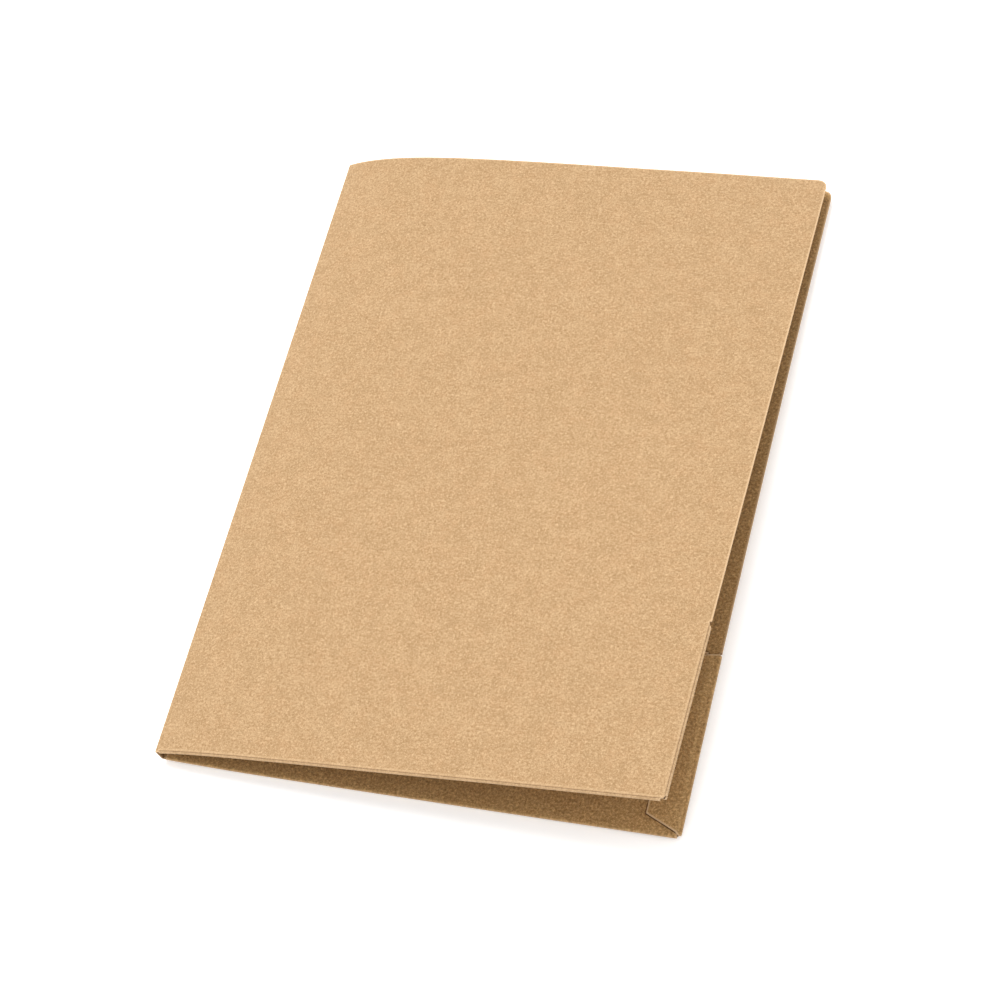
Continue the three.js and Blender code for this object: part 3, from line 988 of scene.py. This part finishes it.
# ---------------------------------------------------------------------------------------------
# Stage, in metres: pale floor, and a white tent of sky
# ---------------------------------------------------------------------------------------------
scene = bpy.context.scene
FLOOR_HALF, FLOOR_Z = 6.0, -0.0003
floor_mesh = bpy.data.meshes.new("floor")
floor_corners = [(x * FLOOR_HALF, y * FLOOR_HALF, FLOOR_Z)
                 for x, y in ((-1, -1), (1, -1), (1, 1), (-1, 1))]
floor_mesh.from_pydata(floor_corners, [], [(0, 1, 2, 3)])
floor = bpy.data.objects.new("floor", floor_mesh)
scene.collection.objects.link(floor)
floor_material = bpy.data.materials.new("floor_paper")
floor_material.use_nodes = True
for key, value in {
    "Base Color": (0.95, 0.95, 0.95, 1),
    "Roughness": 0.9,
    "Specular IOR Level": 0.1,
    "Emission Color": (1.0, 1.0, 1.0, 1),      # a table lit faintly from below
    "Emission Strength": 0.25,
}.items():
    floor_material.node_tree.nodes["Principled BSDF"].inputs[key].default_value = value
floor_mesh.materials.append(floor_material)

world = bpy.data.worlds.new("studio")
scene.world = world
world.use_nodes = True
nodes, links = world.node_tree.nodes, world.node_tree.links
background = nodes["Background"]
background.inputs[0].default_value = (1.0, 1.0, 1.0, 1)
# a tent of white cloth: brightest overhead and towards the head, dimmer towards the floor
sky = nodes.new("ShaderNodeTexCoord")
toward = nodes.new("ShaderNodeVectorMath")
toward.operation = "DOT_PRODUCT"
toward.inputs[1].default_value = (-0.05, 0.24, 0.97)
level = nodes.new("ShaderNodeMapRange")
for key, value in {"From Min": 0.0, "From Max": 1.0, "To Min": 0.27, "To Max": 1.33}.items():
    level.inputs[key].default_value = value
links.new(sky.outputs["Generated"], toward.inputs[0])
links.new(toward.outputs["Value"], level.inputs["Value"])
# the backdrop itself is plain white wherever the camera looks past the floor
sight = nodes.new("ShaderNodeLightPath")
pick = nodes.new("ShaderNodeMix")
pick.data_type = "FLOAT"
links.new(sight.outputs["Is Camera Ray"], pick.inputs["Factor"])
links.new(level.outputs[0], pick.inputs["A"])
pick.inputs["B"].default_value = 1.2
links.new(pick.outputs["Result"], background.inputs[1])


def area(name, direction, distance, size, watts):
    """A disk light in this direction from the origin, facing it."""
    light = bpy.data.lights.new(name, "AREA")
    light.shape = "DISK"
    light.size = size
    light.energy = watts
    light.spread = math.pi
    ob = bpy.data.objects.new(name, light)
    way = np.array(direction, float)
    way /= np.linalg.norm(way)
    ob.location = tuple(way * distance)
    ob.rotation_euler = Vector(way).to_track_quat("Z", "Y").to_euler()
    scene.collection.objects.link(ob)


# from above on the spine and head side, from the foot, and from the fore edge
area("key", direction=(-0.34, 0.38, 1.0), distance=3.4, size=1.7, watts=86.5)
area("front", direction=(-0.165, -0.95, 0.32), distance=2.2, size=0.55, watts=8.0)
area("side", direction=(0.93, 0.25, 0.30), distance=2.2, size=0.8, watts=4.2)

# The camera. Its perspective is off-axis: the lens's axis meets the picture low on the left,
# as with a shifted lens. A sheared mount does the same, so the camera itself stays plain.
SENSOR, FOCAL = 36.0, 71.995608         # millimetres
AXIS_LEFT, AXIS_BELOW = 8.9091, 14.399856      # the axis from the sensor picture's middle
RIGHT = np.array([0.9217743142, 0.2792195539, -0.2690140412])
DOWN = np.array([0.1634950331, -0.9090353388, -0.3833068315])
AHEAD = np.array([-0.3515700326, 0.3093399321, -0.8835764362])
EYE = np.array([342.120 + ORIGIN_X, -304.648 - H / 2, 715.374]) / MM_PER_M
back_way = -AHEAD - AXIS_LEFT / FOCAL * RIGHT + AXIS_BELOW / FOCAL * DOWN
stretch = np.linalg.norm(back_way)
mount = np.eye(4)
mount[:3, 0], mount[:3, 1], mount[:3, 2] = RIGHT, -DOWN, back_way / stretch
mount[:3, 3] = EYE
stand = bpy.data.objects.new("camera_stand", None)
scene.collection.objects.link(stand)
camera_data = bpy.data.cameras.new("view")
camera_data.sensor_width = SENSOR
camera_data.lens = FOCAL * stretch
camera_data.clip_start = 0.01
camera = bpy.data.objects.new("view", camera_data)
scene.collection.objects.link(camera)
camera.parent = stand
camera.matrix_parent_inverse = Matrix(mount.tolist())
scene.camera = camera
scene.view_settings.view_transform = "Standard"
scene.view_settings.look = "None"
